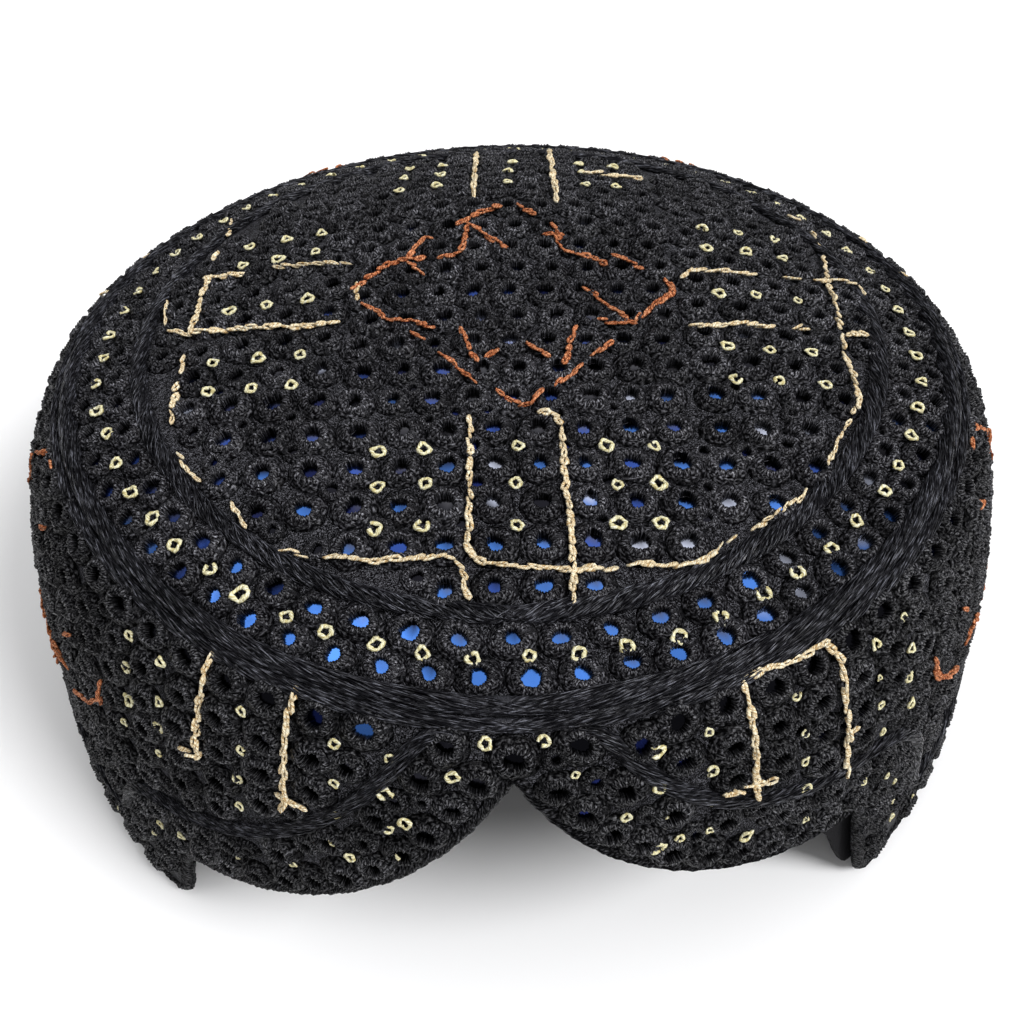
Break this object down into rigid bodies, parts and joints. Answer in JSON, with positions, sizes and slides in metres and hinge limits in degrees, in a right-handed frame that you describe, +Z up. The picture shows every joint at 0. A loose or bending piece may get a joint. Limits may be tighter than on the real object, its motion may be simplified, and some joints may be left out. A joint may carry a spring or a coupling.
{
  "type": "sindhi cap",
  "caption": "Round brimless embroidered cloth cap with a low domed crown, flared side band and an arched opening over the forehead.",
  "frame": {"origin": "On the floor that the hem rests on, at the middle of the head opening, under the middle of the crown.", "axes": "+Z up through the crown. The arched opening over the forehead faces -Y, and +X is to its right as seen from the front."},
  "size_m": [0.1871, 0.1789, 0.0769],
  "materials": {
    "embroidered_cloth": "black cotton thread, closely stitched",
    "plain_lining": "plain smooth dark cotton",
    "satin_cord": "glossy black floss over a cord",
    "mirror": "small round mirror glass under each eyelet",
    "cream_thread": "cream cotton chain stitch and rings",
    "rust_thread": "rust cotton chain stitch"
  },
  "bodies": {
    "root": {"crown": "embroidered_cloth", "side_band": "embroidered_cloth", "lining": "plain_lining", "crown_edge_cord": "satin_cord", "band_top_cord": "satin_cord", "inner_ring_cord": "satin_cord", "border_cord": "satin_cord", "hem_cord": "satin_cord"}
  },
  "joints": []
}
